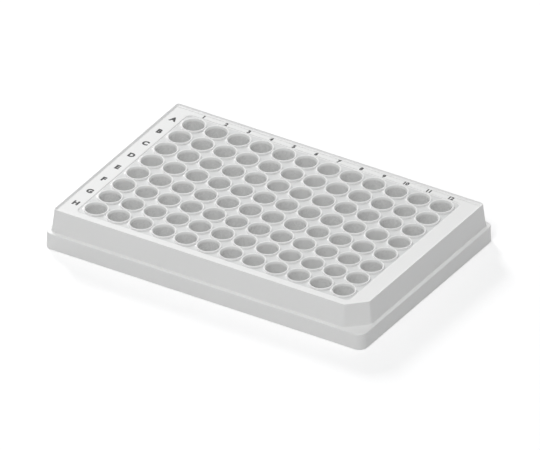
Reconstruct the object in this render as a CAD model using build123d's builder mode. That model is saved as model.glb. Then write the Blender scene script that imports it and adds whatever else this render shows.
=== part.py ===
from build123d import *
import os
from math import radians, sqrt, tan

# Ninety-six-well microplate, moulded in one piece with no separate parts.
# Sizes are in millimetres. The origin lies under the middle of the plate, on the
# surface it stands on. X runs along the numbered columns, Y towards row A, Z up.

# Grid of wells, and how far the skirt's outside lies from the first well's centre
well_columns = 12
well_rows = 8
well_pitch = 9.0
side_to_first_column = 14.38
side_to_first_row = 11.24

# Skirt, which machines and nests hold by its outside
skirt_height = 6.1
skirt_draft = 1.2
skirt_corner_radius = 3.18

# Upper body, set back from the skirt by a ledge, with one cut corner beside well H12
ledge_width = 1.4
body_draft = 6.8
body_corner_radius = 2.2
cut_corner_leg = 6.95

# Rims round the well mouths, which almost touch one another
rim_top_height = 14.35
gap_between_rims = 0.2
rim_width = 0.47

# Wells: a short lead-in cone at the mouth, then a deep wall that narrows downwards
lead_in_depth = 0.875
lead_in_width = 0.32
well_draft = 2.0

# Tubes that carry the wells below the deck, with their ends clear of the table
tube_wall = 0.6
tube_end_height = 2.25
well_floor_thickness = 1.2

# Top face: raised lip round the edge, flat margin, sunken field round the wells
lip_above_rims = 0.35
lip_flat_width = 0.2
lip_bevel_width = 0.55
margin_below_rims = 0.2
field_below_rims = 0.47
field_border = 0.4
field_step_width = 0.5
field_corner_radius = 2.0

# Thickness of the walls and of the deck under the sunken field
wall_thickness = 1.3
deck_thickness = 1.3
smallest_corner_radius = 0.3

# Heights that follow from the sizes above
lip_top = rim_top_height + lip_above_rims
margin_level = rim_top_height - margin_below_rims
field_level = rim_top_height - field_below_rims
deck_middle = field_level - deck_thickness / 2
deck_underside = field_level - deck_thickness
lead_in_foot = rim_top_height - lead_in_depth
well_floor = tube_end_height + well_floor_thickness
ledge_underside = skirt_height - wall_thickness

# Radii that follow from the pitch of the wells
rim_outer_radius = (well_pitch - gap_between_rims) / 2
mouth_radius = rim_outer_radius - rim_width
lead_in_foot_radius = mouth_radius - lead_in_width
well_floor_radius = lead_in_foot_radius - (lead_in_foot - well_floor) * tan(radians(well_draft))
tube_top_radius = lead_in_foot_radius + tube_wall
tube_end_radius = well_floor_radius + tube_wall

# Plan sizes that follow from the grid of wells
grid_length = (well_columns - 1) * well_pitch
grid_width = (well_rows - 1) * well_pitch
skirt_length = grid_length + 2 * side_to_first_column
skirt_width = grid_width + 2 * side_to_first_row
body_inset = skirt_height * tan(radians(skirt_draft)) + ledge_width
body_length = skirt_length - 2 * body_inset
body_width = skirt_width - 2 * body_inset
body_slope = tan(radians(body_draft))
field_length = grid_length + 2 * (rim_outer_radius + field_border)
field_width = grid_width + 2 * (rim_outer_radius + field_border)


def skirt_outline(inset):
    """Draw the skirt's outline with every side moved in by the inset."""
    RectangleRounded(
        skirt_length - 2 * inset,
        skirt_width - 2 * inset,
        max(skirt_corner_radius - inset, smallest_corner_radius),
    )


def body_outline(inset):
    """Draw the upper body's outline, cut corner included, moved in by the inset."""
    Rectangle(body_length - 2 * inset, body_width - 2 * inset)
    right_corners = vertices().group_by(Axis.X)[-1]
    chamfer(right_corners.sort_by(Axis.Y)[0], length=cut_corner_leg - inset * (2 - sqrt(2)))
    fillet(vertices(), radius=max(body_corner_radius - inset, smallest_corner_radius))


def field_outline(growth):
    """Draw the sunken field's outline with every side moved out by the growth."""
    RectangleRounded(
        field_length + 2 * growth,
        field_width + 2 * growth,
        field_corner_radius + growth,
    )


# One well as solid material: the tube under the deck and the raised rim above it
with BuildPart() as well_material:
    with BuildSketch(Plane.XZ):
        with BuildLine():
            tube_end = Line((0, tube_end_height), (tube_end_radius, tube_end_height))
            tube_side = Bezier(tube_end @ 1, (tube_top_radius, deck_middle))
            Polyline(
                tube_side @ 1,
                (rim_outer_radius, deck_middle),
                (rim_outer_radius, rim_top_height),
                (0, rim_top_height),
                tube_end @ 0,
            )
        make_face()
    revolve(axis=Axis.Z)

# The hollow of one well: flat floor, narrowing wall, and lead-in cone at the mouth
with BuildPart() as well_hollow:
    with BuildSketch(Plane.XZ):
        with BuildLine():
            above_lip = lip_top + wall_thickness
            floor = Line((0, well_floor), (well_floor_radius, well_floor))
            well_side = Bezier(floor @ 1, (lead_in_foot_radius, lead_in_foot))
            Polyline(
                well_side @ 1,
                (mouth_radius, rim_top_height),
                (mouth_radius, above_lip),
                (0, above_lip),
                floor @ 0,
            )
        make_face()
    revolve(axis=Axis.Z)

with BuildPart() as microplate:
    # Skirt and upper body, both narrowing upwards so that they leave the mould
    with BuildSketch(Plane.XY):
        skirt_outline(0)
    extrude(amount=skirt_height, taper=skirt_draft)
    with BuildSketch(Plane.XY.offset(skirt_height)):
        body_outline(0)
    extrude(amount=lip_top - skirt_height, taper=body_draft)

    # Tray inside the lip, whose inner side slopes down to the flat margin
    lip_inset = (lip_top - skirt_height) * body_slope + lip_flat_width
    with BuildSketch(Plane.XY.offset(margin_level)):
        body_outline(lip_inset + lip_bevel_width)
    with BuildSketch(Plane.XY.offset(lip_top)):
        body_outline(lip_inset)
    loft(ruled=True, mode=Mode.SUBTRACT)

    # Sunken field round the wells, with a sloping step up to the margin
    with BuildSketch(Plane.XY.offset(field_level)):
        field_outline(0)
    with BuildSketch(Plane.XY.offset(margin_level)):
        field_outline(field_step_width)
    loft(ruled=True, mode=Mode.SUBTRACT)

    # Hollow underside: inside the skirt, then inside the upper body up to the deck
    with BuildSketch(Plane.XY):
        skirt_outline(wall_thickness)
    extrude(amount=ledge_underside, taper=skirt_draft, mode=Mode.SUBTRACT)
    with BuildSketch(Plane.XY.offset(ledge_underside)):
        body_outline(wall_thickness * (1 - body_slope))
    extrude(amount=deck_underside - ledge_underside, taper=body_draft, mode=Mode.SUBTRACT)

    # Wells, as tubes with rims and then as hollows
    with GridLocations(well_pitch, well_pitch, well_columns, well_rows):
        add(well_material.part)
    with GridLocations(well_pitch, well_pitch, well_columns, well_rows):
        add(well_hollow.part, mode=Mode.SUBTRACT)

microplate.part.label = "microplate"

os.makedirs("parts", exist_ok=True)
export_step(microplate.part, "parts/microplate.step")
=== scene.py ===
from math import cos, pi, radians, sin, sqrt, tan

import bmesh
import bpy
from mathutils import Matrix, Vector


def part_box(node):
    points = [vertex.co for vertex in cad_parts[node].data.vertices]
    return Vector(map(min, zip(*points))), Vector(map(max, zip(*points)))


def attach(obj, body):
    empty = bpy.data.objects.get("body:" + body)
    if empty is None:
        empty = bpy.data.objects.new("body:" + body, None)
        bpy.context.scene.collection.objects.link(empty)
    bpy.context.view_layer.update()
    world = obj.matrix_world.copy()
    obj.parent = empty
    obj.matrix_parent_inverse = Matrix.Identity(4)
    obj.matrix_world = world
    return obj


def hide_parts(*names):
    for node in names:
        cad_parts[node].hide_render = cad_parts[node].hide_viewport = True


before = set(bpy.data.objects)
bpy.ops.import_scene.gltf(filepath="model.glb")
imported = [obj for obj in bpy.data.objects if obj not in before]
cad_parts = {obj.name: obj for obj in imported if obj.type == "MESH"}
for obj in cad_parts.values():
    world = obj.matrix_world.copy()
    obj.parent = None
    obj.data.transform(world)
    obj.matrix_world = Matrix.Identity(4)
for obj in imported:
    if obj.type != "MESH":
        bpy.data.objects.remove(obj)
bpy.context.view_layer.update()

# The moulded plate: one shot of white polystyrene, with the skirt, the stepped body, the
# lip, the deck and ninety-six wells all in one piece. It is drawn here with the small
# radii that the mould leaves on every edge, over the sizes that the solid has.
mm = 0.001
lowest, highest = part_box("microplate")
plate_length = highest.x - lowest.x
plate_width = highest.y - lowest.y
lip_top = highest.z

well_columns = 12
well_rows = 8
well_pitch = 9.0 * mm
gap_between_rims = 0.2 * mm
rim_width = 0.47 * mm
lead_in_depth = 0.875 * mm
lead_in_width = 0.32 * mm
well_draft = radians(2.0)
well_floor_thickness = 1.2 * mm
tube_wall = 0.6 * mm
tube_end = 2.25 * mm
lip_above_rims = 0.35 * mm
margin_below_rims = 0.2 * mm
field_below_rims = 0.47 * mm
deck_thickness = 1.3 * mm

rim_top = lip_top - lip_above_rims
margin_level = rim_top - margin_below_rims
field_level = rim_top - field_below_rims
deck_underside = field_level - deck_thickness
rim_outer_radius = (well_pitch - gap_between_rims) / 2
mouth_radius = rim_outer_radius - rim_width
lead_in_foot = rim_top - lead_in_depth
lead_in_foot_radius = mouth_radius - lead_in_width
well_floor = tube_end + well_floor_thickness
well_floor_radius = lead_in_foot_radius - (lead_in_foot - well_floor) * tan(well_draft)


def rounded_line(corners):
    """Points on a line through corners of (across, height, radius, steps of its arc)."""
    points = []
    for index, (across, height, radius, steps) in enumerate(corners[1:-1], 1):
        corner = Vector((across, height))
        back = (Vector(corners[index - 1][:2]) - corner).normalized()
        ahead = (Vector(corners[index + 1][:2]) - corner).normalized()
        half_angle = back.angle(ahead) / 2
        centre = corner + (back + ahead).normalized() * radius / sin(half_angle)
        start = (corner + back * radius / tan(half_angle) - centre).normalized()
        end = (corner + ahead * radius / tan(half_angle) - centre).normalized()
        for step in range(steps + 1):
            points.append(centre + start.slerp(end, step / steps) * radius)
    return points


def bridge(mesh, ring, next_ring):
    """Faces between two closed rings that have the same number of vertices."""
    for index in range(len(ring)):
        after = (index + 1) % len(ring)
        mesh.faces.new((ring[index], ring[after], next_ring[after], next_ring[index]))


def close_disc(mesh, ring, height):
    """Faces from a ring to a vertex at its middle."""
    middle = mesh.verts.new((0, 0, height))
    for index in range(len(ring)):
        mesh.faces.new((ring[index], ring[(index + 1) % len(ring)], middle))


# One well on its own square of deck: floor, drafted wall, lead-in cone, raised rim, and
# the tube below. The square's edge has a vertex for each one round the well, so that
# neighbouring squares meet vertex to vertex.
segments_round_well = 48
well_floor_fillet = 0.5 * mm
lead_in_fillet = 0.05 * mm
mouth_edge = 0.08 * mm
rim_edge = 0.12 * mm
rim_foot_fillet = 0.06 * mm
tube_end_edge = 0.3 * mm
tube_top_fillet = 0.15 * mm
hollow_section = rounded_line(
    [
        (0, well_floor, 0, 0),
        (well_floor_radius, well_floor, well_floor_fillet, 2),
        (lead_in_foot_radius, lead_in_foot, lead_in_fillet, 1),
        (mouth_radius, rim_top, mouth_edge, 2),
        (rim_outer_radius, rim_top, rim_edge, 3),
        (rim_outer_radius, field_level, rim_foot_fillet, 1),
        (well_pitch / 2, field_level, 0, 0),
    ]
)
tube_section = rounded_line(
    [
        (0, tube_end, 0, 0),
        (well_floor_radius + tube_wall, tube_end, tube_end_edge, 2),
        (lead_in_foot_radius + tube_wall, deck_underside, tube_top_fillet, 1),
        (well_pitch / 2, deck_underside, 0, 0),
    ]
)
turns = [2 * pi * step / segments_round_well for step in range(segments_round_well)]


def well_ring(mesh, radius, height):
    """A ring of vertices round the well."""
    return [mesh.verts.new((radius * cos(turn), radius * sin(turn), height)) for turn in turns]


def square_ring(mesh, height):
    """A ring of vertices on the edge of the well's square, one for each round the well."""
    ring = []
    for turn in turns:
        reach = well_pitch / 2 / max(abs(cos(turn)), abs(sin(turn)))
        ring.append(mesh.verts.new((reach * cos(turn), reach * sin(turn), height)))
    return ring


well_mesh = bmesh.new()
for section, floor_height, deck_height in (
    (hollow_section, well_floor, field_level),
    (tube_section, tube_end, deck_underside),
):
    rings = [well_ring(well_mesh, point.x, point.y) for point in section]
    rings.append(square_ring(well_mesh, deck_height))
    close_disc(well_mesh, rings[0], floor_height)
    for ring, next_ring in zip(rings, rings[1:]):
        bridge(well_mesh, ring, next_ring)
well_data = bpy.data.meshes.new("one_well")
well_mesh.to_mesh(well_data)
well_mesh.free()
one_well = bpy.data.objects.new("one_well", well_data)
bpy.context.scene.collection.objects.link(one_well)


class Shade:
    """A socket among a material's nodes. Sums on it add the nodes that work them out."""

    def __init__(self, tree, socket):
        self.tree = tree
        self.socket = socket

    def node(self, kind, settings, sockets, output=0):
        """Add a node, with its settings first and then its sockets' values or links."""
        made = self.tree.nodes.new(kind)
        for name, value in settings.items():
            setattr(made, name, value)
        for name, value in sockets.items():
            if isinstance(value, Shade):
                self.tree.links.new(value.socket, made.inputs[name])
            else:
                made.inputs[name].default_value = value
        return Shade(self.tree, made.outputs[output])

    def maths(self, operation, first, second=0.0):
        """A sum on one value or on two."""
        return self.node("ShaderNodeMath", {"operation": operation}, {0: first, 1: second})

    def __add__(self, other):
        return self.maths("ADD", self, other)

    def __sub__(self, other):
        return self.maths("SUBTRACT", self, other)

    def __rsub__(self, other):
        return self.maths("SUBTRACT", other, self)

    def __mul__(self, other):
        return self.maths("MULTIPLY", self, other)

    def __truediv__(self, other):
        return self.maths("DIVIDE", self, other)

    __radd__ = __add__
    __rmul__ = __mul__

    def under(self, limit):
        """1 where this value is less than the limit, and 0 elsewhere."""
        return self.maths("LESS_THAN", self, limit)

    def size(self):
        """This value without its sign."""
        return self.maths("ABSOLUTE", self)

    def from_nearest(self, pitch):
        """How far this value is from the middle of its cell on a grid of the given pitch."""
        return (self.maths("FRACT", self / pitch) - 0.5) * pitch

    def axes(self):
        """This vector's three parts."""
        split = self.node("ShaderNodeSeparateXYZ", {}, {"Vector": self}).socket.node
        return [Shade(self.tree, split.outputs[axis]) for axis in "XYZ"]

    def noise(self, size, detail):
        """Noise from 0 to 1 on this vector, in patches of about the given size."""
        sockets = {"Vector": self, "Scale": 1 / size, "Detail": detail}
        return self.node("ShaderNodeTexNoise", {}, sockets, "Fac")

    def blend(self, low_colour, high_colour):
        """A colour between two, by this value."""
        settings = {"data_type": "RGBA"}
        sockets = {0: self, 6: (*low_colour, 1), 7: (*high_colour, 1)}
        return self.node("ShaderNodeMix", settings, sockets, 2)


def new_material(name):
    """A material with only its surface shader, and the object's own coordinates."""
    material = bpy.data.materials.new(name)
    material.use_nodes = True
    tree = material.node_tree
    shader = tree.nodes["Principled BSDF"]
    place = tree.nodes.new("ShaderNodeTexCoord")
    return material, shader, Shade(tree, place.outputs["Object"])


def connect(shader, **values):
    """Link values to the shader's sockets, named with underscores for spaces."""
    for name, value in values.items():
        value.tree.links.new(value.socket, shader.inputs[name.replace("_", " ")])


# White polystyrene straight from the mould. The margin, the rims, the body and the skirt
# have a fine spark-eroded texture. The field between the rims and the tubes of the wells
# are the smooth print of polished steel, with less roughness. Their colour is also painted
# darker as painted shade: on the field it stands for the dark reflection of polished plastic,
# and down the tubes for the shade in the wells.
white_plastic, shader, place = new_material("white_polystyrene")
shader.inputs["IOR"].default_value = 1.59
shader.inputs["Subsurface Weight"].default_value = 0.06
shader.inputs["Subsurface Radius"].default_value = (1.0, 0.95, 0.9)
shader.inputs["Subsurface Scale"].default_value = 0.6 * mm
field_border = 0.4 * mm
field_length = (well_columns - 1) * well_pitch + 2 * (rim_outer_radius + field_border)
field_width = (well_rows - 1) * well_pitch + 2 * (rim_outer_radius + field_border)
across, along, height = place.axes()
in_frame = across.size().under(field_length / 2) * along.size().under(field_width / 2)
from_column = across.from_nearest(well_pitch)
from_row = along.from_nearest(well_pitch)
from_axis = place.maths("SQRT", from_column * from_column + from_row * from_row)
tolerance = 0.01 * mm
in_ring = from_axis.under(rim_outer_radius + tolerance)
not_above_field = height.under(field_level + 2 * tolerance)
below_field = height.under(field_level - 2 * tolerance)
at_field_level = not_above_field - below_field
# Where the smoother finish and the painted shade go: the field, and the tubes below the
# lead-in.
on_field = in_frame * (1 - in_ring) * at_field_level
on_tube = in_frame * in_ring * height.under(lead_in_foot)
cloudy = place.noise(22 * mm, 3.0)
speckle = place.noise(0.9 * mm, 3.0)
grain = place.noise(0.16 * mm, 2.0)

# Paleness 1 is the textured white and 0 the white darkened with painted shade. The field
# gets all of that painted shade and the tubes of the wells a quarter of it.
textured_white = (0.88, 0.88, 0.872)
# The darker white below is painted shade, not a colour of the plastic.
painted_shade_white = (0.68, 0.685, 0.68)
paleness = 0.77 + cloudy * 0.16 + speckle * 0.07 - on_field * 0.77 - on_tube * 0.25
relief = grain * (1 - on_field - on_tube) + cloudy * 0.5
connect(
    shader,
    Base_Color=paleness.blend(painted_shade_white, textured_white),
    Roughness=0.42 + speckle * 0.06 + cloudy * 0.05 - on_field * 0.12 - on_tube * 0.2,
    Normal=place.node(
        "ShaderNodeBump", {}, {"Strength": 0.35, "Distance": 0.012 * mm, "Height": relief}
    ),
)

# The grid of wells, repeated from the one above at the standard pitch and merged where
# the squares of deck meet.
merge_reach = 0.002 * mm
grid_tree = bpy.data.node_groups.new("wells_on_a_grid", "GeometryNodeTree")
grid_inputs = {
    name: grid_tree.interface.new_socket(name=name, in_out="INPUT", socket_type=kind)
    for name, kind in (
        ("Well", "NodeSocketObject"),
        ("Columns", "NodeSocketInt"),
        ("Rows", "NodeSocketInt"),
        ("Pitch", "NodeSocketFloat"),
        ("Plastic", "NodeSocketMaterial"),
    )
}
grid_tree.interface.new_socket(name="Wells", in_out="OUTPUT", socket_type="NodeSocketGeometry")


def grid_node(kind, settings, sockets):
    """Add a geometry node, with its settings first and then its sockets' values or links."""
    made = grid_tree.nodes.new(kind)
    for name, value in settings.items():
        setattr(made, name, value)
    for name, value in sockets.items():
        if isinstance(value, bpy.types.NodeSocket):
            grid_tree.links.new(value, made.inputs[name])
        else:
            made.inputs[name].default_value = value
    return made


def grid_span(count):
    """The distance from the first well to the last, from how many there are."""
    gaps = grid_node("ShaderNodeMath", {"operation": "SUBTRACT"}, {0: count, 1: 1.0})
    sockets = {0: gaps.outputs[0], 1: given.outputs["Pitch"]}
    return grid_node("ShaderNodeMath", {"operation": "MULTIPLY"}, sockets).outputs[0]


given = grid_node("NodeGroupInput", {}, {})
places = grid_node(
    "GeometryNodeMeshGrid",
    {},
    {
        "Size X": grid_span(given.outputs["Columns"]),
        "Size Y": grid_span(given.outputs["Rows"]),
        "Vertices X": given.outputs["Columns"],
        "Vertices Y": given.outputs["Rows"],
    },
)
original = grid_node("GeometryNodeObjectInfo", {}, {"Object": given.outputs["Well"]})
copies = grid_node(
    "GeometryNodeInstanceOnPoints",
    {},
    {"Points": places.outputs["Mesh"], "Instance": original.outputs["Geometry"]},
)
joined = grid_node("GeometryNodeRealizeInstances", {}, {"Geometry": copies.outputs[0]})
merged = grid_node(
    "GeometryNodeMergeByDistance", {}, {"Geometry": joined.outputs[0], "Distance": merge_reach}
)
painted = grid_node(
    "GeometryNodeSetMaterial",
    {},
    {"Geometry": merged.outputs[0], "Material": given.outputs["Plastic"]},
)
grid_node("NodeGroupOutput", {}, {"Wells": painted.outputs[0]})

well_grid = bpy.data.objects.new("well_grid", bpy.data.meshes.new("well_grid"))
bpy.context.scene.collection.objects.link(well_grid)
repeat = well_grid.modifiers.new("repeat", "NODES")
repeat.node_group = grid_tree
for name, value in (
    ("Well", one_well),
    ("Columns", well_columns),
    ("Rows", well_rows),
    ("Pitch", well_pitch),
    ("Plastic", white_plastic),
):
    repeat[grid_inputs[name].identifier] = value
bpy.context.view_layer.update()
evaluated = well_grid.evaluated_get(bpy.context.evaluated_depsgraph_get())
grid_data = bpy.data.meshes.new_from_object(evaluated)
bpy.data.objects.remove(well_grid)
bpy.data.objects.remove(one_well)

# The body round the wells: skirt, ledge, upper body with its cut corner, lip, margin and
# the step down to the sunken field, then the hollow underside up to the deck.
skirt_height = 6.1 * mm
skirt_draft = radians(1.2)
skirt_corner_radius = 3.18 * mm
ledge_width = 1.4 * mm
body_draft = radians(6.8)
body_corner_radius = 2.2 * mm
cut_corner_leg = 6.95 * mm
wall_thickness = 1.3 * mm
lip_flat = 0.2 * mm
lip_bevel = 0.55 * mm
field_step_head = 0.5 * mm
field_step_foot = 0.24 * mm
field_corner_radius = 2.0 * mm
smallest_corner_radius = 0.3 * mm
steps_round_corner = 12

skirt_lean = skirt_height * tan(skirt_draft)
body_inset = skirt_lean + ledge_width
body_slope = tan(body_draft)
lip_inset = (lip_top - skirt_height) * body_slope + lip_flat
ledge_underside = skirt_height - wall_thickness


def outline(mesh, length, width, radius, leg, height):
    """A ring of vertices round a rectangle with round corners, one of them cut by a leg.

    A corner is its place, its arc's start and end, the way it faces and half its turn, in
    degrees. Without a leg, two arcs share the last corner, so that all rings have the same
    number of vertices.
    """
    right, back = length / 2, width / 2
    corners = [
        (right, back, 0, 90, 45, 45),
        (-right, back, 90, 180, 135, 45),
        (-right, -back, 180, 270, 225, 45),
    ]
    if leg > 0:
        corners += [
            (right - leg, -back, 270, 315, 292.5, 22.5),
            (right, leg - back, 315, 360, 337.5, 22.5),
        ]
    else:
        corners += [
            (right, -back, 270, 315, 315, 45),
            (right, -back, 315, 360, 315, 45),
        ]
    ring = []
    for x, y, start, end, facing, half_turn in corners:
        outwards = Vector((cos(radians(facing)), sin(radians(facing))))
        reach = radius / cos(radians(half_turn))
        centre = Vector((x, y)) - outwards * reach
        steps = round(steps_round_corner * (end - start) / 90)
        for step in range(steps + 1):
            angle = radians(start) + radians(end - start) * step / steps
            spot = centre + Vector((cos(angle), sin(angle))) * radius
            ring.append(mesh.verts.new((spot.x, spot.y, height)))
    return ring


def skirt_ring(mesh, inset, height):
    """A ring on the skirt's outline, moved in by the inset."""
    radius = max(skirt_corner_radius - inset, smallest_corner_radius)
    return outline(mesh, plate_length - 2 * inset, plate_width - 2 * inset, radius, 0, height)


def body_ring(mesh, inset, height):
    """A ring on the upper body's outline, cut corner included, moved in by the inset."""
    length = plate_length - 2 * body_inset - 2 * inset
    width = plate_width - 2 * body_inset - 2 * inset
    radius = max(body_corner_radius - inset, smallest_corner_radius)
    leg = cut_corner_leg - inset * (2 - sqrt(2))
    return outline(mesh, length, width, radius, leg, height)


def field_ring(mesh, growth, height):
    """A ring on the sunken field's outline, moved out by the growth."""
    length, width = field_length + 2 * growth, field_width + 2 * growth
    return outline(mesh, length, width, field_corner_radius + growth, 0, height)


# Each section runs across the wall, as an inset from its outline and a height. The first
# and last corner of a section only aim its arcs and make no ring.
edge = 0.12 * mm
field_foot_fillet = 0.06 * mm
lip_inner_edge = 0.08 * mm
body_foot_fillet = 0.35 * mm
ledge_edge = 0.3 * mm
skirt_foot_edge = 0.15 * mm
ledge_fillet = 0.2 * mm
deck_fillet = 0.3 * mm
run_on = 1 * mm
field_section = [
    (-edge, field_level, 0, 0),
    (field_step_foot, field_level, field_foot_fillet, 2),
    (field_step_head, margin_level, edge, 2),
    (field_step_head + 2 * edge, margin_level, 0, 0),
]
body_section = [
    (lip_inset + lip_bevel + 2 * edge, margin_level, 0, 0),
    (lip_inset + lip_bevel, margin_level, edge, 2),
    (lip_inset, lip_top, lip_inner_edge, 2),
    (lip_inset - lip_flat, lip_top, edge, 3),
    (0, skirt_height, body_foot_fillet, 3),
    (-run_on, skirt_height, 0, 0),
]
skirt_section = [
    (skirt_lean + run_on, skirt_height, 0, 0),
    (skirt_lean, skirt_height, ledge_edge, 3),
    (0, 0, skirt_foot_edge, 3),
    (wall_thickness, 0, skirt_foot_edge, 3),
    (wall_thickness + ledge_underside * tan(skirt_draft), ledge_underside, ledge_fillet, 2),
    (wall_thickness + run_on, ledge_underside, 0, 0),
]
body_foot_inset = wall_thickness * (1 - body_slope)
body_head_inset = body_foot_inset + (deck_underside - ledge_underside) * body_slope
hollow_body_section = [
    (body_foot_inset - run_on, ledge_underside, 0, 0),
    (body_foot_inset, ledge_underside, ledge_fillet, 2),
    (body_head_inset, deck_underside, deck_fillet, 2),
    (body_head_inset + run_on, deck_underside, 0, 0),
]
body_mesh = bmesh.new()
rings = []
for make_ring, section in (
    (field_ring, field_section),
    (body_ring, body_section),
    (skirt_ring, skirt_section),
    (body_ring, hollow_body_section),
):
    rings += [make_ring(body_mesh, point.x, point.y) for point in rounded_line(section)]
for ring, next_ring in zip(rings, rings[1:]):
    bridge(body_mesh, ring, next_ring)

# The wells' deck is sewn into the body: two flat borders, one on top and one below, run
# from the outermost squares to the body's first and last outline.
shortest_side = 0.001 * mm
body_mesh.from_mesh(grid_data)
bmesh.ops.remove_doubles(body_mesh, verts=body_mesh.verts, dist=merge_reach)
bmesh.ops.dissolve_degenerate(body_mesh, edges=body_mesh.edges, dist=shortest_side)
for level in (field_level, deck_underside):
    open_sides = [
        side
        for side in body_mesh.edges
        if side.is_boundary
        and all(abs(vertex.co.z - level) < tolerance for vertex in side.verts)
    ]
    bmesh.ops.triangle_fill(body_mesh, edges=open_sides, use_beauty=True)

# A shallow second step lies along the foot of the back lip, behind the column numbers. Its
# hidden sides are sunk into the lip and the margin.
step_width = 0.78 * mm
step_height = 0.13 * mm
step_edge = 0.05 * mm
hidden_edge = 0.02 * mm
sunk = 0.2 * mm
inner_length = plate_length - 2 * (body_inset + lip_inset + lip_bevel)
inner_width = plate_width - 2 * (body_inset + lip_inset + lip_bevel)
step_back = inner_width / 2 + sunk
step_front = inner_width / 2 - step_width
step_section = rounded_line(
    [
        (step_front, margin_level - sunk, 0, 0),
        (step_back, margin_level - sunk, hidden_edge, 1),
        (step_back, margin_level + step_height, hidden_edge, 1),
        (step_front, margin_level + step_height, step_edge, 2),
        (step_front, margin_level - sunk, hidden_edge, 1),
        (step_back, margin_level - sunk, 0, 0),
    ]
)
step_ends = []
for hand in (-1, 1):
    x = hand * (inner_length / 2 + sunk)
    step_end = [body_mesh.verts.new((x, point.x, point.y)) for point in step_section]
    body_mesh.faces.new(step_end)
    step_ends.append(step_end)
bridge(body_mesh, *step_ends)
bmesh.ops.recalc_face_normals(body_mesh, faces=body_mesh.faces)
for face in body_mesh.faces:
    face.smooth = True
plate_data = bpy.data.meshes.new("moulded_plate")
body_mesh.to_mesh(plate_data)
body_mesh.free()
plate_data.materials.clear()
plate_data.materials.append(white_plastic)
plate = bpy.data.objects.new("moulded_plate", plate_data)
bpy.context.scene.collection.objects.link(plate)
even_shading = plate.modifiers.new("even_shading", "WEIGHTED_NORMAL")
even_shading.weight = 80
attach(plate, "root")
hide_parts("microplate")

# Row letters and column numbers: plain dark print on the flat margin, with each letter
# beside its row and each number behind its column.
ink, shader, place = new_material("black_print")
deep_black = (0.008, 0.008, 0.009)
worn_black = (0.022, 0.022, 0.023)
mottle = place.noise(0.25 * mm, 4.0)
connect(
    shader,
    Base_Color=mottle.blend(deep_black, worn_black),
    Roughness=0.42 + mottle * 0.2,
)
print_thickness = 0.02 * mm
letter_size = 3.2 * mm
letter_weight = 0.21 * mm
number_size = 2.25 * mm
number_weight = 0.14 * mm
letters_x = -57.4 * mm
letters_aside = -0.4 * mm
numbers_y = 37.72 * mm
numbers_aside = 0.2 * mm


def print_text(text, size, weight, x, y):
    """The mesh of one letter or number, lying on the margin and centred on its place.

    Its lines are made bolder all round by the weight, and then pressed flat.
    """
    curve = bpy.data.curves.new("mark", "FONT")
    curve.body = text
    curve.size = size
    curve.resolution_u = 4
    curve.bevel_depth = weight
    curve.bevel_resolution = 0
    mark = bpy.data.objects.new("mark", curve)
    bpy.context.scene.collection.objects.link(mark)
    bpy.context.view_layer.update()
    evaluated_mark = mark.evaluated_get(bpy.context.evaluated_depsgraph_get())
    made = bpy.data.meshes.new_from_object(evaluated_mark)
    bpy.data.objects.remove(mark)
    spots = [vertex.co for vertex in made.vertices]
    middle_x = (min(spot.x for spot in spots) + max(spot.x for spot in spots)) / 2
    middle_y = (min(spot.y for spot in spots) + max(spot.y for spot in spots)) / 2
    flattened = Matrix.Diagonal((1, 1, print_thickness / weight, 1))
    made.transform(Matrix.Translation((x - middle_x, y - middle_y, margin_level)) @ flattened)
    return made


def print_marks(name, marks):
    """One piece from several marks of (text, size, weight, x, y)."""
    mesh = bmesh.new()
    for mark in marks:
        mesh.from_mesh(print_text(*mark))
    bmesh.ops.remove_doubles(mesh, verts=mesh.verts, dist=shortest_side)
    made = bpy.data.meshes.new(name)
    mesh.to_mesh(made)
    mesh.free()
    made.materials.clear()
    made.materials.append(ink)
    piece = bpy.data.objects.new(name, made)
    bpy.context.scene.collection.objects.link(piece)
    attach(piece, "root")


first_row_y = (well_rows - 1) / 2 * well_pitch + letters_aside
first_column_x = -(well_columns - 1) / 2 * well_pitch + numbers_aside
print_marks(
    "row_letters",
    [
        (letter, letter_size, letter_weight, letters_x, first_row_y - row * well_pitch)
        for row, letter in enumerate("ABCDEFGH")
    ],
)
print_marks(
    "column_numbers",
    [
        (
            str(column + 1),
            number_size,
            number_weight,
            first_column_x + column * well_pitch,
            numbers_y,
        )
        for column in range(well_columns)
    ],
)

# The table: a plain pale sheet that shows white to the camera and in reflections, and
# keeps the plate's soft shadow.
floor_reach = 1.5
floor_data = bpy.data.meshes.new("table")
floor_data.from_pydata(
    [(x * floor_reach, y * floor_reach, 0) for x, y in ((-1, -1), (1, -1), (1, 1), (-1, 1))],
    [],
    [(0, 1, 2, 3)],
)
table = bpy.data.objects.new("table", floor_data)
bpy.context.scene.collection.objects.link(table)
paper, shader, place = new_material("pale_table")
shader.inputs["Base Color"].default_value = (0.82, 0.82, 0.82, 1)
shader.inputs["Roughness"].default_value = 0.9
shader.inputs["Specular IOR Level"].default_value = 0.1
shader.inputs["Emission Strength"].default_value = 1.0


def seen_directly(tree):
    """1 for rays from the camera, off gloss or through something clear, and 0 for the rest."""
    light_path = tree.nodes.new("ShaderNodeLightPath")
    rays = ("Is Camera Ray", "Is Glossy Ray", "Is Transmission Ray")
    seen = [Shade(tree, light_path.outputs[ray]) for ray in rays]
    return seen[0] + seen[1] + seen[2]


no_lift = (0, 0, 0)
lift_to_white = (0.34, 0.34, 0.34)
connect(shader, Emission_Color=seen_directly(place.tree).blend(no_lift, lift_to_white))
floor_data.materials.append(paper)

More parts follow.
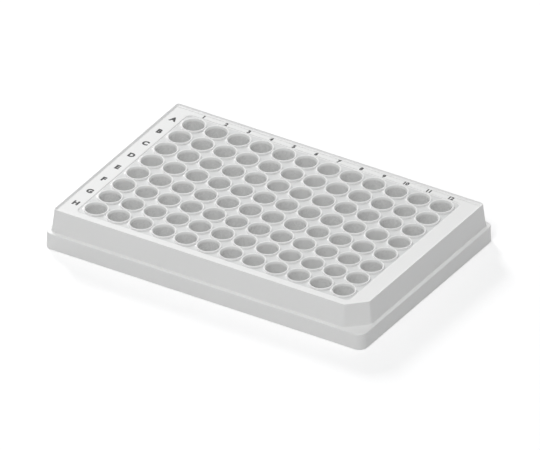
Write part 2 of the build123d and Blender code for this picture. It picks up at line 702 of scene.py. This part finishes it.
# Light: a soft lamp overhead, one high behind the camera that reaches into the wells, and
# one low behind the left shoulder that draws the lip and the rims. An even pale room lies
# round them.
world = bpy.data.worlds.new("room")
bpy.context.scene.world = world
world.use_nodes = True
room_light = (0.32, 0.323, 0.327)
white = (1, 1, 1)
room_colour = seen_directly(world.node_tree).blend(room_light, white)
room = world.node_tree.nodes["Background"]
world.node_tree.links.new(room_colour.socket, room.inputs["Color"])


def soft_lamp(name, place, size, watts):
    """A square soft lamp at a place, turned to the middle of the plate's foot."""
    data = bpy.data.lights.new(name, "AREA")
    data.size = size
    data.energy = watts
    lamp = bpy.data.objects.new(name, data)
    lamp.location = place
    lamp.rotation_mode = "QUATERNION"
    to_plate = Vector((0, 0, 0)) - Vector(place)
    lamp.rotation_quaternion = to_plate.to_track_quat("-Z", "Y")
    bpy.context.scene.collection.objects.link(lamp)


soft_lamp("top_lamp", (0.0, 0.0, 1.2), size=0.50, watts=1.6)
soft_lamp("left_lamp", (-0.75, 0.60, 0.57), size=0.24, watts=5.0)
soft_lamp("front_lamp", (0.12, -0.70, 0.92), size=0.40, watts=3.9)

# Camera: square on, with no perspective, as in the photograph. Its turn, its height and
# its scale come from the ninety-six well centres there.
azimuth = radians(31.77)
elevation = radians(32.03)
picture_width = 540
pixels_per_metre = 2940.05
camera_distance = 0.6
aside = 0.401 * mm
below = 6.085 * mm
away = Vector((sin(azimuth) * cos(elevation), -cos(azimuth) * cos(elevation), sin(elevation)))
right = Vector((cos(azimuth), sin(azimuth), 0))
up = away.cross(right)
camera_data = bpy.data.cameras.new("camera")
camera_data.type = "ORTHO"
camera_data.ortho_scale = picture_width / pixels_per_metre
camera_data.clip_end = 10
camera = bpy.data.objects.new("camera", camera_data)
target = Vector((0, 0, rim_top)) + right * aside - up * below
camera.location = target + away * camera_distance
camera.rotation_mode = "QUATERNION"
camera.rotation_quaternion = (-away).to_track_quat("-Z", "Y")
bpy.context.scene.collection.objects.link(camera)
bpy.context.scene.camera = camera
bpy.context.scene.view_settings.view_transform = "Standard"
